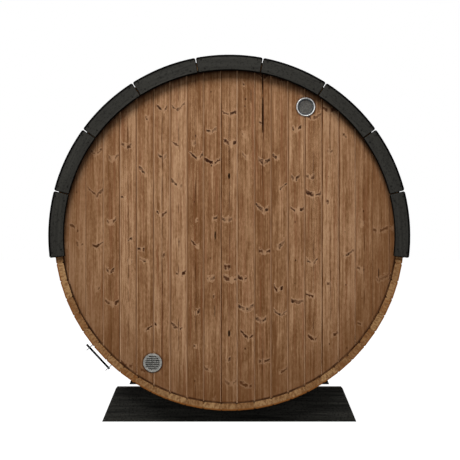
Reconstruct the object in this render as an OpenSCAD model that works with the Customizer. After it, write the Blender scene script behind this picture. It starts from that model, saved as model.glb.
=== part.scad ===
// Barrel sauna: a cask of staves on two cradles, with an end wall at each end.
// Millimetres. Z is up, the barrel lies along Y, the rear wall faces -Y and the doorway faces +Y.
// The origin is on the ground, below the middle of the barrel.

/* [Barrel] */
// Outside diameter, across the flat backs of two opposite staves
barrel_d = 2000; // [1700:20:2300]
// Length of the staves
barrel_l = 1800; // [1400:20:2400]
// Height of the barrel's lowest point above the ground
barrel_lift = 93; // [60:1:120]

/* [Staves] */
// Thickness of a stave
stave_t = 40; // [32:1:50]
// Number of staves, with the narrow closing stave at the bottom
stave_count = 60; // [48:1:72]
// Angle that the closing stave takes up, in degrees
closing_angle = 5.1; // [4:0.1:6]
// Gap left between two staves
stave_gap = 0.4; // [0.3:0.1:0.8]
// Chamfer along the four long edges of a stave
stave_chamfer = 5; // [1:0.5:6]
// Thickness of the tongue on a stave's edge
tongue_t = 9; // [6:1:12]
// How far the tongue reaches into the next stave
tongue_l = 7; // [4:1:9]

/* [End walls] */
// Thickness of an end wall
wall_t = 40; // [32:1:50]
// Distance from the end of the staves in to the face of the wall
wall_recess = 37; // [30:1:60]
// How deep the staves are grooved to hold the wall
croze_depth = 12; // [8:1:14]
// Cover width of a wall board
board_w = 97; // [90:1:120]
// Width of the V between two wall boards
board_v = 8; // [4:0.5:10]

/* [Vents] */
// Distance of the upper vent's middle from the barrel's inside
upper_vent_in = 97; // [85:1:200]
// Angle from straight up to the upper vent, on the +X side
upper_vent_angle = 30.7; // [0:0.1:60]
// Distance of the lower vent's middle from the barrel's inside
lower_vent_in = 105; // [85:1:200]
// Angle from straight down to the lower vent, on the -X side
lower_vent_angle = 31.1; // [0:0.1:60]
// Diameter of a vent's face
vent_d = 108; // [100:1:120]
// Width of the upper vent's rim
vent_rim = 10; // [7:1:14]
// Diameter of the hole through the wall
vent_hole = 90; // [80:1:94]
// Louvre slots in the lower vent
louvre_count = 7; // [5:1:7]
// Distance between two slots of the lower vent
louvre_pitch = 11.5; // [10:0.5:12]

/* [Arch trim] */
// Segments in one trim arch
trim_count = 9; // [7:1:11]
// Angle that one trim segment takes up, in degrees
trim_angle = 21.6; // [18:0.1:24]
// Outside radius of the trim, beyond the staves' backs
trim_over = 31; // [20:1:40]
// Width of a trim board, along the radius
trim_w = 88; // [70:1:100]
// Thickness of a trim board
trim_t = 28; // [20:1:34]
// Gap between two trim segments
trim_gap = 3.5; // [1:0.5:6]
// Corner radius at the outside of a trim segment
trim_round_out = 11; // [6:1:16]
// Corner radius at the inside of a trim segment
trim_round_in = 8; // [4:1:12]

/* [Roof] */
// Thickness of the roof sheet
roof_t = 4.5; // [3.5:0.5:8]
// Width of the strip over the ridge
ridge_w = 300; // [200:10:360]

/* [Hoops] */
// Width of a steel hoop
hoop_w = 30; // [20:1:40]
// Thickness of a steel hoop
hoop_t = 1.5; // [1:0.1:2]
// Angle from straight down to the middle of the tensioner, on the -X side
tension_angle = 46.9; // [40:0.1:60]
// Distance between the two lugs of a tensioner
lug_span = 156; // [120:1:200]
// Thickness of a lug
lug_t = 4; // [3:0.5:6]
// How far the rod lies off the hoop
rod_off = 28; // [20:1:34]
// Diameter of the rod
rod_d = 10; // [6:1:12]
// Length of the rod beyond the upper lug
rod_end_high = 24; // [12:1:28]
// Length of the rod beyond the lower lug
rod_end_low = 10; // [10:1:20]
// How far a lug reaches past the rod
lug_over = 16; // [10:1:20]

/* [Cradles] */
// Height of a cradle
cradle_h = 200; // [180:1:210]
// Width of a cradle along the ground
cradle_w = 1498; // [1350:1:1600]
// Width of a cradle across its top
cradle_top_w = 1332; // [1200:1:1400]
// Thickness of a cradle
cradle_t = 60; // [45:1:90]
// Distance from the end of the staves in to the cradle
cradle_in = 150; // [100:10:250]

/* [Doorway] */
// Wall boards that the doorway is wide
door_boards = 7; // [5:2:7]
// Height of the doorway's sill above the barrel's inside, at its lowest
sill_rise = 137; // [110:1:170]
// Depth of the wall over the doorway, to the barrel's inside at its highest
lintel_h = 123; // [100:1:200]
// Width of the door frame's timbers
jamb_w = 34; // [28:1:44]
// How far the door frame stands proud of the wall, on either side
jamb_proud = 10; // [4:1:16]
// Thickness of the door leaf
leaf_t = 42; // [36:1:46]
// Width of the leaf's stiles and top rail
stile_w = 88; // [70:1:110]
// Height of the leaf's bottom rail
bottom_rail_h = 170; // [120:10:240]
// Gap round the door leaf
leaf_gap = 3; // [2:0.5:5]
// Thickness of the glass
glass_t = 8; // [6:1:10]
// Length of the door handle
handle_l = 320; // [240:10:420]

/* [Floor] */
// How far the floor lies below the doorway's sill
floor_drop = 8; // [0:1:20]
// Thickness of a floor slat
slat_t = 28; // [20:1:32]
// Width of a floor slat
slat_w = 95; // [80:1:120]
// Gap between two floor slats
slat_gap = 10; // [6:1:14]
// Gap between the slats' ends and a wall
slat_end_gap = 10; // [2:1:20]
// Thickness of a bearer under the floor
bearer_t = 45; // [36:1:60]
// Distance from the slats' ends in to the first bearer
bearer_in = 40; // [0:5:120]
// Number of bearers
bearer_count = 4; // [3:1:5]

/* [Hidden] */

$fn = 96;
wood = "#8c6a4c";
black_wood = "#2b2b29";
roofing = "#232323";
steel = "#9a9c9e";

// Clearance between a piece and what it is seated on
seat = 0.3;
// Added to a cutter, so that it passes through the face that it starts from
through = 1;

barrel_r = barrel_d / 2;
inner_r = barrel_r - stave_t;
centre_z = barrel_lift + barrel_r;
group_count = 12;
stave_angle = (360 - closing_angle) / (stave_count - 1);
// Distance from the axis to the chamfered corner of a stave, where its joint is
corner_r = norm([barrel_r, barrel_r * tan(stave_angle / 2) - stave_chamfer]);

wall_r = inner_r + croze_depth - seat;
wall_mid = barrel_l / 2 - wall_recess - wall_t / 2;
wall_face = wall_mid + wall_t / 2;
joints_a_side = floor((wall_r / board_w) - 0.5);
board_joints = [for (n = [0 : joints_a_side]) (n + 0.5) * board_w];

// A vent's place across the wall and up it, from the barrel's centre
upper_vent_at = (inner_r - upper_vent_in) * [sin(upper_vent_angle), cos(upper_vent_angle)];
lower_vent_at = (inner_r - lower_vent_in) * [-sin(lower_vent_angle), -cos(lower_vent_angle)];
rim_proud = 5;
sleeve_t = 2;
sleeve_l = 30;
sleeve_r = vent_hole / 2 - seat;

trim_out_r = barrel_r + trim_over;
trim_in_r = trim_out_r - trim_w;
trim_half = trim_count * trim_angle / 2;

hoop_r = corner_r + seat;
hoop_out_r = hoop_r + hoop_t;
// Angle from the tensioner's middle to the back of a lug
lug_angle = asin((lug_span / 2 + lug_t) / hoop_out_r);
rod_r = hoop_out_r + rod_off;

roof_r = corner_r + seat;
roof_out_r = roof_r + roof_t;
ridge_t = roof_t * 2 / 3;
// Room under the roof sheet, on either side of a hoop
hoop_room = 4;
// Angle left open at the ridge by each half of the roof, in degrees
roof_seam = 0.02;

cradle_mid = barrel_l / 2 - cradle_in - cradle_t / 2;

doorway_w = door_boards * board_w;
sill_z = barrel_lift + stave_t + sill_rise;
head_z = centre_z + inner_r - lintel_h;
doorway_h = head_z - sill_z;
doorway_mid_z = (sill_z + head_z) / 2;
jamb_depth = wall_t + 2 * jamb_proud;
leaf_w = doorway_w - 2 * (jamb_w + seat + leaf_gap);
leaf_h = doorway_h - 2 * (jamb_w + seat + leaf_gap);
leaf_mid_y = wall_face + jamb_proud - leaf_t / 2;
// Width, height and middle of the glass that shows between the leaf's timbers
sight_w = leaf_w - 2 * stile_w;
sight_h = leaf_h - stile_w - bottom_rail_h;
sight_z = doorway_mid_z + (bottom_rail_h - stile_w) / 2;
glass_bite = 12;

floor_z = sill_z - floor_drop;
floor_l = 2 * (wall_mid - wall_t / 2 - slat_end_gap);
// Width inside the barrel at the underside of the slats, and the slats that fit in it
floor_room = 2 * sqrt((inner_r - seat) ^ 2 - (centre_z - floor_z + slat_t) ^ 2);
slat_count = floor((floor_room + slat_gap) / (slat_w + slat_gap));
floor_w = slat_count * (slat_w + slat_gap) - slat_gap;

// Puts children, drawn with the barrel's axis along Z and up along Y, in the barrel
module along_barrel() {
    translate([0, 0, centre_z]) rotate([90, 0, 0]) children();
}

// Turns children, drawn on the +Y side of the axis, to an angle from straight down towards +X
module from_bottom(angle) {
    rotate(angle + 180) children();
}

function stave_half(i) = (i == 0 ? closing_angle : stave_angle) / 2;
function stave_middle(i) = i == 0 ? 0 : closing_angle / 2 + (i - 0.5) * stave_angle;

// Section of a stave: flat back and face, chamfered edges that point at the axis,
// a tongue on the right edge and its groove in the left one
module stave_section(half) {
    back = barrel_r * tan(half) - stave_gap / 2;
    face = inner_r * tan(half) - stave_gap / 2;
    c = stave_chamfer;
    mid_r = (barrel_r + inner_r) / 2;
    right = [
        [face - c, inner_r], [face + c * tan(half), inner_r + c],
        [back - c * tan(half), barrel_r - c], [back - c, barrel_r]
    ];
    left = [for (i = [len(right) - 1 : -1 : 0]) [-right[i].x, right[i].y]];
    difference() {
        union() {
            polygon(concat(right, left));
            rotate(-half)
                translate([-stave_gap / 2 - through, mid_r - tongue_t / 2])
                    square([tongue_l + through, tongue_t]);
        }
        rotate(half)
            translate([-through, mid_r - tongue_t / 2 - stave_gap])
                square([tongue_l + through + stave_gap, tongue_t + 2 * stave_gap]);
    }
}

// One stave, with the groove near each end that holds the wall
module stave(i) {
    groove_w = wall_t + 2 * seat;
    reach = 2 * barrel_r * tan(stave_half(i));
    from_bottom(stave_middle(i)) difference() {
        linear_extrude(barrel_l, center = true) stave_section(stave_half(i));
        for (s = [-1, 1])
            translate([0, inner_r + croze_depth / 2 - through / 2, s * wall_mid])
                cube([reach, croze_depth + through, groove_w], center = true);
    }
}

module stave_group(g) {
    first = floor(g * stave_count / group_count);
    last = floor((g + 1) * stave_count / group_count) - 1;
    color(wood) along_barrel() for (i = [first : last]) stave(i);
}

// The disc that an end wall is cut from, with a V at each board joint on both sides
module board_disc() {
    side = board_v / sqrt(2);
    difference() {
        cylinder(r = wall_r, h = wall_t, center = true, $fn = 360);
        for (x = board_joints, sx = [-1, 1], sz = [-1, 1])
            translate([sx * x, 0, sz * wall_t / 2]) rotate([0, 45, 0])
                cube([side, 2 * wall_r + through, side], center = true);
    }
}

module at_vent(place) {
    along_barrel() translate([place.x, place.y, wall_mid]) children();
}

module rear_wall() {
    color(wood) difference() {
        along_barrel() translate([0, 0, wall_mid]) board_disc();
        for (place = [upper_vent_at, lower_vent_at])
            at_vent(place) cylinder(d = vent_hole, h = wall_t + 2 * through, center = true);
    }
}

// The part of the front wall inside a box given by its low and high corners across the barrel
module front_wall_part(low, high) {
    color(wood) intersection() {
        along_barrel() translate([0, 0, -wall_mid]) board_disc();
        translate([low.x, 0, low.y]) cube([high.x - low.x, barrel_l / 2, high.y - low.y]);
    }
}

module front_wall_left() {
    front_wall_part([-barrel_r, 0], [-doorway_w / 2, 2 * barrel_d]);
}

module front_wall_right() {
    front_wall_part([doorway_w / 2, 0], [barrel_r, 2 * barrel_d]);
}

module front_wall_over_door() {
    edge = doorway_w / 2 - seat;
    front_wall_part([-edge, head_z], [edge, 2 * barrel_d]);
}

module front_wall_under_door() {
    edge = doorway_w / 2 - seat;
    front_wall_part([-edge, 0], [edge, sill_z]);
}

// A vent's round rim, with a sleeve into the hole
module vent_body() {
    face_r = vent_d / 2;
    edge = 2;
    rotate_extrude() {
        polygon([
            [face_r - vent_rim, 0], [face_r, 0], [face_r, rim_proud - edge],
            [face_r - edge, rim_proud], [face_r - vent_rim, rim_proud]
        ]);
        translate([sleeve_r - sleeve_t, -sleeve_l]) square([sleeve_t, sleeve_l + through]);
    }
}

module upper_vent_rim() {
    color("#c9ccca") at_vent(upper_vent_at) translate([0, 0, wall_t / 2]) vent_body();
}

// A mesh in a ring, a little way down the upper vent's sleeve
module upper_vent_mesh() {
    wire = 2;
    pitch = 6;
    mesh_r = sleeve_r - sleeve_t - seat;
    ring = 2.5;
    depth = 5;
    steps = floor(mesh_r / pitch);
    color("#3c4142") at_vent(upper_vent_at) translate([0, 0, wall_t / 2 - depth])
        linear_extrude(wire) {
            difference() {
                circle(mesh_r);
                circle(mesh_r - ring);
            }
            intersection() {
                circle(mesh_r - ring / 2);
                for (i = [-steps : steps]) {
                    translate([i * pitch, 0]) square([wire, 2 * mesh_r], center = true);
                    translate([0, i * pitch]) square([2 * mesh_r, wire], center = true);
                }
            }
        }
}

// Lower vent: a disc with a row of louvre slots, which slope down outwards
module lower_vent() {
    slot_h = louvre_pitch / 2;
    slope = 35;
    disc_t = rim_proud - 1;
    bore_r = sleeve_r - sleeve_t;
    slot_r = bore_r - 1;
    color("#7f8583") at_vent(lower_vent_at) translate([0, 0, wall_t / 2]) difference() {
        union() {
            vent_body();
            cylinder(r = bore_r + sleeve_t / 2, h = disc_t);
        }
        intersection() {
            translate([0, 0, -through]) cylinder(r = slot_r, h = rim_proud + 2 * through);
            for (i = [0 : louvre_count - 1])
                translate([0, (i - (louvre_count - 1) / 2) * louvre_pitch, rim_proud / 2])
                    rotate([-slope, 0, 0]) cube([2 * slot_r, slot_h, 3 * rim_proud], center = true);
        }
    }
}

// What rounds one corner of a trim segment whose end lies along the Y axis:
// r is the radius of the arc that the corner is on, out is 1 outside and -1 inside
module corner_cut(r, round, out) {
    slack = 0.02;
    centre = [-round, sqrt((r - out * round) ^ 2 - round ^ 2)];
    radial = out * centre / norm(centre);
    side = [2 * round, 0];
    difference() {
        polygon([centre, centre + side, centre + side + 2 * round * radial, centre + 2 * round * radial]);
        translate(centre) circle(round + slack, $fn = 32);
    }
}

// One trim segment, drawn across the +Y axis
module trim_segment() {
    half = trim_angle / 2 - asin(trim_gap / (trim_out_r + trim_in_r));
    reach = 2 * trim_out_r;
    difference() {
        intersection() {
            difference() {
                circle(trim_out_r);
                circle(trim_in_r);
            }
            polygon([[0, 0], reach * [sin(half), cos(half)], reach * [-sin(half), cos(half)]]);
        }
        for (m = [0, 1]) mirror([m, 0, 0]) rotate(-half) {
            corner_cut(trim_out_r, trim_round_out, 1);
            corner_cut(trim_in_r, trim_round_in, -1);
        }
    }
}

module trim_arch(low) {
    color(black_wood) along_barrel() translate([0, 0, low])
        for (i = [0 : trim_count - 1]) rotate((i - (trim_count - 1) / 2) * trim_angle)
            linear_extrude(trim_t) trim_segment();
}

module rear_trim() {
    trim_arch(barrel_l / 2 + seat);
}

module front_trim() {
    trim_arch(-barrel_l / 2 - seat - trim_t);
}

// A sheet bent round the staves, from one angle from the top to another, on the +X side,
// with room under it for the hoops
module roof_sheet(from, to) {
    relief = hoop_w + 2 * hoop_room;
    rotate(90 - to) rotate_extrude(angle = to - from, $fn = 180) difference() {
        translate([roof_r, -barrel_l / 2]) square([roof_t, barrel_l]);
        for (s = [-1, 1])
            translate([roof_r - through, s * wall_mid - relief / 2])
                square([hoop_t + seat + through, relief]);
    }
}

module roof_right() {
    color(roofing) along_barrel() roof_sheet(roof_seam, trim_half);
}

module roof_left() {
    color(roofing) mirror([1, 0, 0]) along_barrel() roof_sheet(roof_seam, trim_half);
}

module roof_ridge() {
    half = ridge_w / 2 / roof_out_r * 180 / PI;
    color(roofing) along_barrel() rotate(90 - half) rotate_extrude(angle = 2 * half, $fn = 180)
        translate([roof_out_r + seat, -barrel_l / 2]) square([ridge_t, barrel_l]);
}

// A hoop: a steel band in a wall's plane, open between the two lugs of its tensioner
module hoop(mid) {
    under_lug = 0.3;
    open_half = lug_angle - under_lug;
    color(steel) along_barrel() translate([0, 0, mid]) from_bottom(-tension_angle)
        rotate(90 + open_half) rotate_extrude(angle = 360 - 2 * open_half, $fn = 180)
            translate([hoop_r, -hoop_w / 2]) square([hoop_t, hoop_w]);
}

module rear_hoop() {
    hoop(wall_mid);
}

module front_hoop() {
    hoop(-wall_mid);
}

// A lug: a plate across the rod, on a foot that lies along the hoop
module lug() {
    foot_l = 30;
    foot_t = 3;
    root_y = sqrt(hoop_out_r ^ 2 - (lug_span / 2) ^ 2) + seat;
    tip_y = rod_r + rod_d / 2 + lug_over;
    difference() {
        union() {
            translate([lug_span / 2, root_y, -hoop_w / 2]) cube([lug_t, tip_y - root_y, hoop_w]);
            rotate(-lug_angle - foot_l / 2 / hoop_out_r * 180 / PI)
                translate([-foot_l / 2, hoop_out_r + seat, -hoop_w / 2]) cube([foot_l, foot_t, hoop_w]);
        }
        translate([lug_span / 2 - through, rod_r, 0]) rotate([0, 90, 0])
            cylinder(r = rod_d / 2 + seat, h = lug_t + 2 * through);
    }
}

// A rod through the two lugs, with a nut behind each
module tension_rod() {
    nut_r = rod_d * 0.92;
    nut_t = rod_d * 0.85;
    half = lug_span / 2 + lug_t;
    translate([0, rod_r, 0]) rotate([0, 90, 0]) {
        translate([0, 0, -half - rod_end_low]) cylinder(d = rod_d, h = 2 * half + rod_end_low + rod_end_high);
        for (s = [-1, 1]) translate([0, 0, s * (half + seat + nut_t / 2)])
            cylinder(r = nut_r, h = nut_t, center = true, $fn = 6);
    }
}

module tensioner(mid) {
    color(steel) along_barrel() translate([0, 0, mid]) from_bottom(-tension_angle) {
        for (m = [0, 1]) mirror([m, 0, 0]) lug();
        tension_rod();
    }
}

module rear_tensioner() {
    tensioner(wall_mid);
}

module front_tensioner() {
    tensioner(-wall_mid);
}

// A cradle: a plank on edge with sloping ends, hollowed to the barrel
module cradle(mid) {
    color("#1b1a18") translate([0, mid + cradle_t / 2, 0]) rotate([90, 0, 0]) linear_extrude(cradle_t)
        difference() {
            polygon([
                [-cradle_w / 2, 0], [cradle_w / 2, 0],
                [cradle_top_w / 2, cradle_h], [-cradle_top_w / 2, cradle_h]
            ]);
            translate([0, centre_z]) circle(corner_r + seat, $fn = 180);
        }
}

module rear_cradle() {
    cradle(-cradle_mid);
}

module front_cradle() {
    cradle(cradle_mid);
}

// A box given by its size across and up, with its middle at [x, z], and its depth about y
module timber(x, z, w, h, y, depth) {
    translate([x - w / 2, y - depth / 2, z - h / 2]) cube([w, depth, h]);
}

// Door frame: two jambs between a sill and a head
module door_frame() {
    w = doorway_w - 2 * seat;
    h = doorway_h - 2 * seat;
    jamb_h = h - 2 * (jamb_w + seat);
    color(wood) for (s = [-1, 1]) {
        timber(0, doorway_mid_z + s * (h - jamb_w) / 2, w, jamb_w, wall_mid, jamb_depth);
        timber(s * (w - jamb_w) / 2, doorway_mid_z, jamb_w, jamb_h, wall_mid, jamb_depth);
    }
}

// Door leaf: two stiles, a top rail and a bottom rail, grooved for the glass
module door_leaf() {
    low = doorway_mid_z - leaf_h / 2;
    high = doorway_mid_z + leaf_h / 2;
    color(wood) difference() {
        union() {
            for (s = [-1, 1])
                timber(s * (leaf_w - stile_w) / 2, doorway_mid_z, stile_w, leaf_h, leaf_mid_y, leaf_t);
            timber(0, low + bottom_rail_h / 2, sight_w - 2 * seat, bottom_rail_h, leaf_mid_y, leaf_t);
            timber(0, high - stile_w / 2, sight_w - 2 * seat, stile_w, leaf_mid_y, leaf_t);
        }
        timber(
            0, sight_z, sight_w + 2 * (glass_bite + seat), sight_h + 2 * (glass_bite + seat),
            leaf_mid_y, glass_t + 2 * seat
        );
    }
}

module door_glass() {
    color([0.45, 0.4, 0.35, 0.5])
        timber(0, sight_z, sight_w + 2 * glass_bite, sight_h + 2 * glass_bite, leaf_mid_y, glass_t);
}

// Hinges on the -X side: two plates on the faces of jamb and stile, and a knuckle between
module door_hinges() {
    plate_w = 28;
    plate_t = 2.5;
    plate_h = 90;
    knuckle_r = 6;
    outer_hinge = 0.38 * leaf_h;
    face_y = wall_face + jamb_proud + seat;
    x = -leaf_w / 2 - leaf_gap / 2;
    color(steel) for (up = [-outer_hinge, 0, outer_hinge]) {
        z = doorway_mid_z + up;
        timber(x, z, 2 * plate_w, plate_h, face_y + plate_t / 2, plate_t);
        translate([x, face_y + knuckle_r, z - plate_h / 2]) cylinder(r = knuckle_r, h = plate_h);
    }
}

// Handles: a bar on two posts on either face of the door
module door_handles() {
    bar_r = 13;
    post_r = 8;
    stand = 42;
    post_up = 0.36 * handle_l;
    x = leaf_w / 2 - stile_w / 2;
    color(black_wood) for (s = [-1, 1]) {
        face_y = leaf_mid_y + s * (leaf_t / 2 + seat);
        translate([x, face_y + s * stand, doorway_mid_z - handle_l / 2]) cylinder(r = bar_r, h = handle_l);
        for (up = [-post_up, post_up])
            translate([x, face_y, doorway_mid_z + up]) rotate([-s * 90, 0, 0])
                cylinder(r = post_r, h = stand);
    }
}

// Bearers: boards on edge across the barrel, cut to its inside
module floor_bearers() {
    top = floor_z - slat_t;
    step = (floor_l - bearer_t - 2 * bearer_in) / (bearer_count - 1);
    color(wood) for (i = [0 : bearer_count - 1])
        intersection() {
            along_barrel() cylinder(r = inner_r - seat, h = barrel_l, center = true, $fn = 180);
            timber(0, top / 2, floor_w, top, (i - (bearer_count - 1) / 2) * step, bearer_t);
        }
}

module floor_slats() {
    color(wood) for (i = [0 : slat_count - 1])
        timber(
            (i - (slat_count - 1) / 2) * (slat_w + slat_gap), floor_z - slat_t / 2,
            slat_w, slat_t - seat, 0, floor_l
        );
}

stave_group(0);  // staves_01
stave_group(1);  // staves_02
stave_group(2);  // staves_03
stave_group(3);  // staves_04
stave_group(4);  // staves_05
stave_group(5);  // staves_06
stave_group(6);  // staves_07
stave_group(7);  // staves_08
stave_group(8);  // staves_09
stave_group(9);  // staves_10
stave_group(10);  // staves_11
stave_group(11);  // staves_12
rear_wall();
front_wall_left();
front_wall_right();
front_wall_over_door();
front_wall_under_door();
upper_vent_rim();
upper_vent_mesh();
lower_vent();
rear_trim();
front_trim();
roof_left();
roof_right();
roof_ridge();
rear_hoop();
front_hoop();
rear_tensioner();
front_tensioner();
rear_cradle();
front_cradle();
door_frame();
door_leaf();
door_glass();
door_hinges();
door_handles();
floor_bearers();
floor_slats();
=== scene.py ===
"""Barrel sauna: a cask of staves on two cradles, seen square on from the wall without the door."""

import math
import random
from functools import partial

import bmesh
import bpy
from bpy.props import FloatProperty, FloatVectorProperty, IntProperty, PointerProperty
from mathutils import Matrix, Vector


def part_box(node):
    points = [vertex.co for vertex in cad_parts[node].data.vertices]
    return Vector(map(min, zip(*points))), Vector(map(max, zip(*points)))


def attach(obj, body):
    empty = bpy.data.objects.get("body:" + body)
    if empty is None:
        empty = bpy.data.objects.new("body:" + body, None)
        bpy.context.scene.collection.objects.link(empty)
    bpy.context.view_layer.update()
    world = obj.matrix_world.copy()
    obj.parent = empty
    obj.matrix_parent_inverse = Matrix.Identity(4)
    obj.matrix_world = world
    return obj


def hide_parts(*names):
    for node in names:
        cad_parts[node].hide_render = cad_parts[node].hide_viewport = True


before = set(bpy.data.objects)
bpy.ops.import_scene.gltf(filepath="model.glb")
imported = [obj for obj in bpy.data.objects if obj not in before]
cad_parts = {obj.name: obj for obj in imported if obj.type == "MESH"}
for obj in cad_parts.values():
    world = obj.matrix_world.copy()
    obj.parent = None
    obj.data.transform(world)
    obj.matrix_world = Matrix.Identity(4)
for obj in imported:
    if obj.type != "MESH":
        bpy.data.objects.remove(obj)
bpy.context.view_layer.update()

bl_info = {
    "name": "Barrel sauna",
    "version": (1, 0, 0),
    "blender": (4, 5, 0),
    "location": "View3D > Sidebar > Sauna",
    "description": "Builds the boards, staves, trim, roof, fittings and studio of a barrel sauna",
    "category": "Object",
}

WALL_LOW, WALL_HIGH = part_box("rear_wall")
CENTRE_Z = (WALL_LOW.z + WALL_HIGH.z) / 2
WALL_R = (WALL_HIGH.z - WALL_LOW.z) / 2
WALL_T = WALL_HIGH.y - WALL_LOW.y
END_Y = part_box("staves_01")[1].y
X, Y, Z = Vector((1, 0, 0)), Vector((0, 1, 0)), Vector((0, 0, 1))
NEAR = 1e-4  # two places nearer to each other than this count as one
VENTS = ("upper_vent_rim", "lower_vent")
STAVE_CORNER = (0.0525, 0.0205, 0.0)  # from the middle of a stave's end to its corner
SCREW_PROUD = 0.0004  # how far the trim's screw heads stand out of its face
PAST_LOW, PAST_HIGH = -1.0, 4.0  # heights below and above the walls, where nothing is cut
CRACK_DEEP = 0.03  # from the face of a wall board to the bottom of a crack
# Places of the finishes in a piece's list, after the planed or stained face
SAWN, CRACK, LIT, SHADED = 1, 2, 3, 4
BLACK_EDGE = 2


def spokes_of(node):
    """Distances of a node's corners from the barrel's axis."""
    return [math.hypot(v.co.x, v.co.z - CENTRE_Z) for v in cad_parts[node].data.vertices]


STAVE_IN, STAVE_OUT = min(spokes_of("staves_01")), max(spokes_of("staves_01"))
STAVE_TURN = math.radians(6)  # from one stave to the next
TRIM_IN, TRIM_OUT = min(spokes_of("rear_trim")), max(spokes_of("rear_trim"))


def linear(code):
    """A colour written as sRGB hex, as linear red, green and blue."""
    channels = [int(code[i : i + 2], 16) / 255 for i in (0, 2, 4)]
    return tuple(c / 12.92 if c <= 0.04045 else ((c + 0.055) / 1.055) ** 2.4 for c in channels)


def colour(name, description, code):
    """A colour that a user may change."""
    return FloatVectorProperty(
        name=name, description=description, subtype="COLOR", size=3, min=0, max=1, default=linear(code)
    )


def length(name, description, default):
    """A size that a user may change, in metres."""
    return FloatProperty(name=name, description=description, unit="LENGTH", min=0, precision=4, default=default)


def angle(name, description, degrees):
    """An angle that a user may change."""
    return FloatProperty(name=name, description=description, subtype="ANGLE", default=math.radians(degrees))


class SaunaWood(bpy.types.PropertyGroup):
    """Colours and figure of the heat-treated pine."""

    light: colour("Early wood", "Palest streaks of a planed face", "b08a68")
    mid: colour("Heartwood", "Most of a planed face", "8e6847")
    dark: colour("Late wood", "Darkest streaks of a planed face", "6a4424")
    red: colour("Red streaks", "Reddest streaks of a planed face", "7c4a2e")
    knot: colour("Knot", "Body of a knot", "452006")
    core: colour("Knot core", "Darkest part of a knot", "2e1300")
    # lit_edge and shaded_edge are the painted highlight and the painted shade on the two sides of a V joint
    lit_edge: colour("Pale edge", "Edge of a board that a joint leaves in the light", "d2aa87")
    shaded_edge: colour("Dark edge", "Edge of a board that a joint leaves in the shade", "533016")
    end_light: colour("Pale end grain", "Sawn end of a pale stave", "ab865b")
    end_dark: colour("Ruddy end grain", "Sawn end of a ruddy stave", "7d4a1a")
    whorl_step: length("Whorl distance", "Usual distance between two rings of knots along a board", 0.27)
    wide_streak: length("Wide streak", "Width of the broad streaks", 0.013)
    fine_streak: length("Fine streak", "Width of the narrow streaks", 0.0035)


class SaunaStain(bpy.types.PropertyGroup):
    """Colours of the black-stained planks."""

    black: colour("Stain", "Most of a stained face", "2a2926")
    worn: colour("Thin stain", "Streaks where the stain is thin", "383733")
    # edge is the colour of the painted shade along the trim's rims and rounded edges
    edge: colour("Stain on edges", "Stain that has gathered along the edges of the trim", "060605")
    cradle: colour("Cradle stain", "Heavier stain on the cradles", "151514")
    cradle_worn: colour("Thin cradle stain", "Streaks where the stain on the cradles is thin", "3b3a36")


class SaunaWalls(bpy.types.PropertyGroup):
    """Boards of the end walls."""

    board: length("Board width", "Cover width of a wall board", 0.097)
    vee: length("Vee", "Width of the V between two boards", 0.0126)
    joint: length("Joint", "Gap left at the bottom of a V", 0.0002)
    hole: length("Vent hole", "Diameter of the hole behind a vent", 0.09)


class SaunaTrim(bpy.types.PropertyGroup):
    """Arch trim."""

    ease: length("Eased edge", "Rounding along a segment's edges", 0.006)
    # rim is the width of the band of painted shade along a segment's outer edge
    rim: length("Black rim", "Width of the band along a segment's outer edge where stain has gathered", 0.0128)
    slot: length("Slot", "Gap between two segments", 0.0035)
    screw: length("Screw head", "Diameter of a screw head", 0.009)
    segments: IntProperty(name="Segments", description="Segments in one arch", min=1, default=9)
    turn: angle("Segment angle", "Angle that one segment takes up", 21.6)


class SaunaRoof(bpy.types.PropertyGroup):
    """Shingles of the roof."""

    exposure: length("Exposure", "Depth of a course that shows", 0.142)
    tab: length("Tab width", "Width of one tab", 0.3)
    slot: length("Slot", "Gap between two tabs", 0.009)
    thick: length("Thickness", "Thickness of a shingle", 0.0028)
    low: angle("Lower edge", "Angle from the top to the roof's edge", 97.2)


class SaunaStage(bpy.types.PropertyGroup):
    """Camera and studio light."""

    camera_y: length("Camera distance", "Distance from the middle of the barrel to the camera", 6.026)
    camera_z: length("Camera height", "Height of the camera above the floor", 1.0274)
    lens: FloatProperty(name="Lens", description="Focal length on a 36 mm sensor", min=1, default=70.16)
    key: FloatProperty(name="Key light", description="Strength of the soft box over the camera", min=0, default=1.0)
    sky: FloatProperty(name="Sky", description="Strength of the even light all round", min=0, default=1.0)
    white: colour("Background", "Floor and background", "ffffff")


# Meshes


def islands(bm):
    """The bodies in a mesh, each as a list of vertices, always in the same order."""
    bm.verts.index_update()
    seen, found = set(), []
    for start in bm.verts:
        if start.index in seen:
            continue
        seen.add(start.index)
        group = [start]
        for vert in group:
            for edge in vert.link_edges:
                other = edge.other_vert(vert)
                if other.index not in seen:
                    seen.add(other.index)
                    group.append(other)
        found.append(group)
    return found


def from_node(node):
    """A copy of a CAD node's mesh, merged, with its flat faces whole."""
    bm = bmesh.new()
    bm.from_mesh(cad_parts[node].data)
    bmesh.ops.remove_doubles(bm, verts=bm.verts, dist=2e-5)
    bmesh.ops.dissolve_limit(bm, angle_limit=math.radians(0.3), verts=bm.verts, edges=bm.edges)
    return bm


def ease(bm, width, segments=2, sharp=35):
    """Rounds the sharp outer edges of a mesh and gives the faces of the rounding."""
    sharp = math.radians(sharp)
    edges = [e for e in bm.edges if e.is_manifold and e.is_convex and e.calc_face_angle(0) > sharp]
    return bevel(bm, edges, width, segments)


def bevel(bm, edges, width, segments=1):
    """Bevels edges and gives the faces of the bevel."""
    return bmesh.ops.bevel(
        bm,
        geom=edges,
        offset=width,
        offset_type="OFFSET",
        affect="EDGES",
        segments=segments,
        profile=0.5,
        clamp_overlap=True,
        material=-1,
    )["faces"]


def join(target, part):
    """Adds a mesh to another and frees it."""
    mesh = bpy.data.meshes.new("part")
    part.to_mesh(mesh)
    part.free()
    target.from_mesh(mesh)
    bpy.data.meshes.remove(mesh)


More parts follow.
